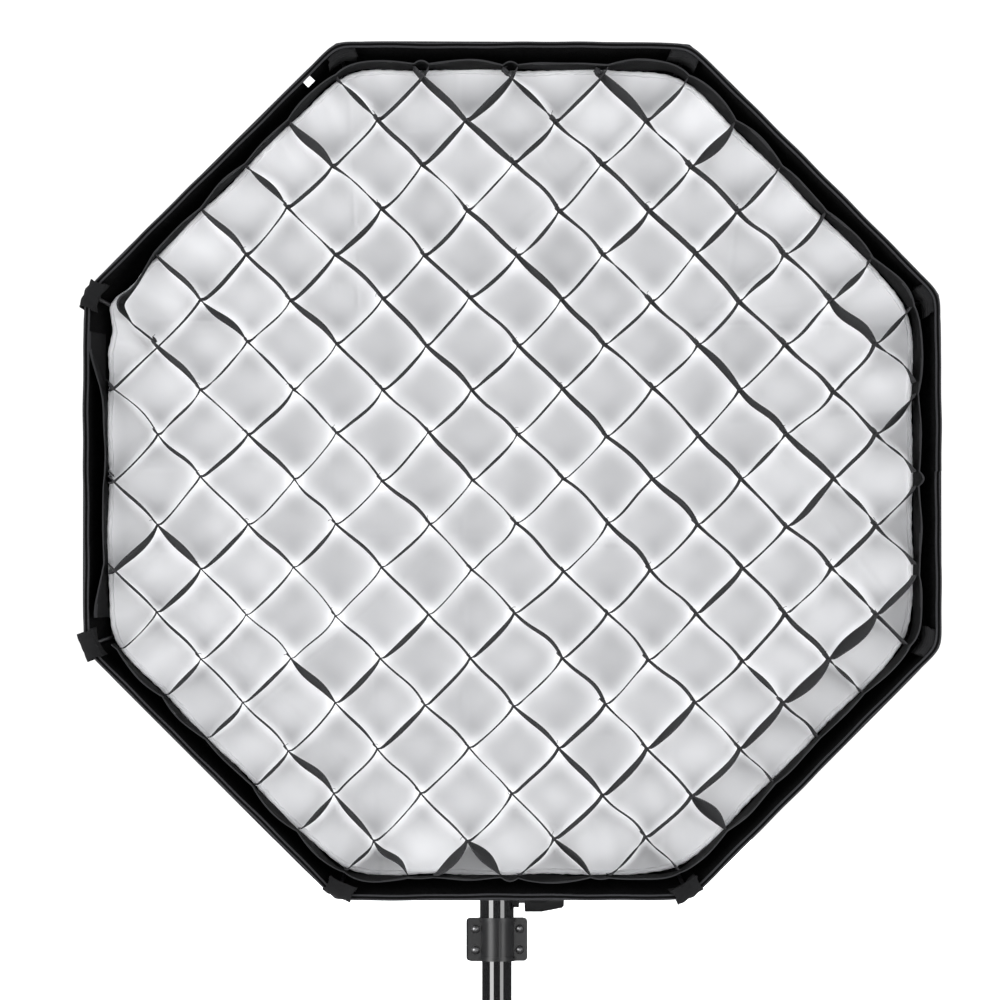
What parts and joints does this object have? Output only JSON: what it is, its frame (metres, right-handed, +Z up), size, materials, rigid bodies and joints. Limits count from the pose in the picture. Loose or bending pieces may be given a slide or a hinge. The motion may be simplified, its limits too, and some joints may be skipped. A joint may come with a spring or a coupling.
{
  "type": "studio softbox",
  "caption": "Eight-sided rod-tensioned softbox with a recessed diffuser and fabric grid, on a tilting flash bracket and a telescoping stand top",
  "frame": {"origin": "centre of the lower end of the stand column, where the next stand section clamps it", "axes": "+Z up along the column, the softbox faces -Y, +X to the right as seen from the front"},
  "size_m": [0.9578, 0.597, 1.1289],
  "materials": {
    "gloss_black_tube": "gloss black powder coat on aluminium tube",
    "collar_casting": "satin moulded nylon",
    "bright_screw": "plated steel",
    "bright_steel": "turned steel",
    "nylon_bush": "natural nylon",
    "sleeve_black": "polished",
    "knob_black": "fine moulded grain",
    "bracket_black": "satin black paint on die casting",
    "ring_alloy": "satin turned",
    "pad_rubber": "matt",
    "spring_rod": "spring steel",
    "shell_cloth": "black coated woven nylon",
    "loop_lining": "black loop pile",
    "binding_tape": "charcoal folded webbing",
    "diffuser_cloth": "white diffusion cloth",
    "grid_cloth": "charcoal woven strips",
    "tag_white": "blank satin label"
  },
  "bodies": {
    "column": {"column_tube": "gloss_black_tube", "collar_front": "collar_casting", "collar_back": "collar_casting", "collar_screws": "bright_screw", "collar_nuts": "bright_screw", "guide_bush": "nylon_bush", "lock_sleeve": "sleeve_black", "lock_shoe": "nylon_bush"},
    "lock_hand": {"lock_screw": "bright_steel", "lock_knob": "knob_black"},
    "riser": {"riser_tube": "gloss_black_tube", "riser_glide": "nylon_bush", "riser_cap": "knob_black", "riser_stud": "bright_steel"},
    "bracket": {"stand_socket": "bracket_black", "tilt_discs": "nylon_bush"},
    "socket_hand": {"socket_screw": "bright_steel", "socket_knob": "knob_black"},
    "umbrella_hand": {"umbrella_screw": "bright_steel", "umbrella_knob": "knob_black"},
    "head": {"tilt_head": "bracket_black", "mount_ring": "bracket_black", "mount_ring_screws": "bright_screw", "latch_pin": "bright_screw", "latch_spring": "bright_screw", "tilt_bolt": "bright_screw", "cradle_frame": "bracket_black", "cradle_screws": "bright_screw", "lower_pad": "pad_rubber", "adapter_ring": "ring_alloy", "ring_retainer": "bright_screw"},
    "latch": {"latch_lever": "bracket_black"},
    "tilt_hand": {"tilt_lever": "bracket_black"},
    "jaw": {"upper_jaw": "bracket_black", "jaw_guides": "bright_steel", "jaw_pad": "pad_rubber"},
    "jaw_hand": {"jaw_screw": "bright_steel", "jaw_knob": "knob_black"},
    "softbox": {"shell_panels": "shell_cloth", "neck_cuff": "shell_cloth", "lip_lining": "loop_lining", "rim_binding": "binding_tape", "corner_pockets": "binding_tape", "front_diffuser": "diffuser_cloth", "diffuser_hem": "diffuser_cloth", "inner_diffuser": "diffuser_cloth", "inner_straps": "binding_tape", "strap_loops": "knob_black", "fabric_grid": "grid_cloth", "grid_hem": "grid_cloth", "blank_tag": "tag_white", "rods": "spring_rod", "rod_tips": "knob_black", "rod_sockets": "ring_alloy", "speed_ring": "ring_alloy"},
    "rotation_hand": {"rotation_lock_screw": "bright_steel", "rotation_lock_knob": "knob_black"}
  },
  "joints": [
    {"name": "riser_slide", "type": "slide", "parent": "column", "child": "riser", "axis": [0, 0, 1], "range_m": [0, 0.085]},
    {"name": "lock_knob_turn", "type": "hinge", "parent": "column", "child": "lock_hand", "pos_m": [0.03, 0, 0.158], "axis": [1, 0, 0], "range_deg": [0, 720]},
    {"name": "bracket_yaw", "type": "hinge", "parent": "riser", "child": "bracket", "pos_m": [0, 0, 0.464], "axis": [0, 0, 1], "continuous": true},
    {"name": "socket_knob_turn", "type": "hinge", "parent": "bracket", "child": "socket_hand", "pos_m": [-0.03, 0, 0.464], "axis": [-1, 0, 0], "range_deg": [0, 720]},
    {"name": "umbrella_knob_turn", "type": "hinge", "parent": "bracket", "child": "umbrella_hand", "pos_m": [-0.02, 0, 0.504], "axis": [-1, 0, 0], "range_deg": [0, 720]},
    {"name": "bracket_tilt", "type": "hinge", "parent": "bracket", "child": "head", "pos_m": [0, 0, 0.545], "axis": [-1, 0, 0], "range_deg": [-35, 60]},
    {"name": "tilt_lever_turn", "type": "hinge", "parent": "head", "child": "tilt_hand", "pos_m": [0.02, 0, 0.545], "axis": [1, 0, 0], "range_deg": [0, 110]},
    {"name": "jaw_slide", "type": "slide", "parent": "head", "child": "jaw", "axis": [0, 0, -1], "range_m": [0, 0.04]},
    {"name": "jaw_knob_turn", "type": "hinge", "parent": "jaw", "child": "jaw_hand", "pos_m": [0, 0.032, 0.78], "axis": [0, 0, 1], "range_deg": [0, 3600]},
    {"name": "latch_turn", "type": "hinge", "parent": "head", "child": "latch", "pos_m": [0.05091, -0.058, 0.70091], "axis": [0, 1, 0], "range_deg": [0, 20], "stiffness_Nm_per_rad": 0.3},
    {"name": "box_turn", "type": "hinge", "parent": "head", "child": "softbox", "pos_m": [0, -0.1, 0.65], "axis": [0, -1, 0], "continuous": true},
    {"name": "rotation_knob_turn", "type": "hinge", "parent": "softbox", "child": "rotation_hand", "pos_m": [0, -0.078, 0.56], "axis": [0, 0, -1], "range_deg": [0, 720]}
  ],
  "couplings": [
    {"joint": "jaw_knob_turn", "follows": "jaw_slide", "rad_per_m": 1570.8}
  ]
}
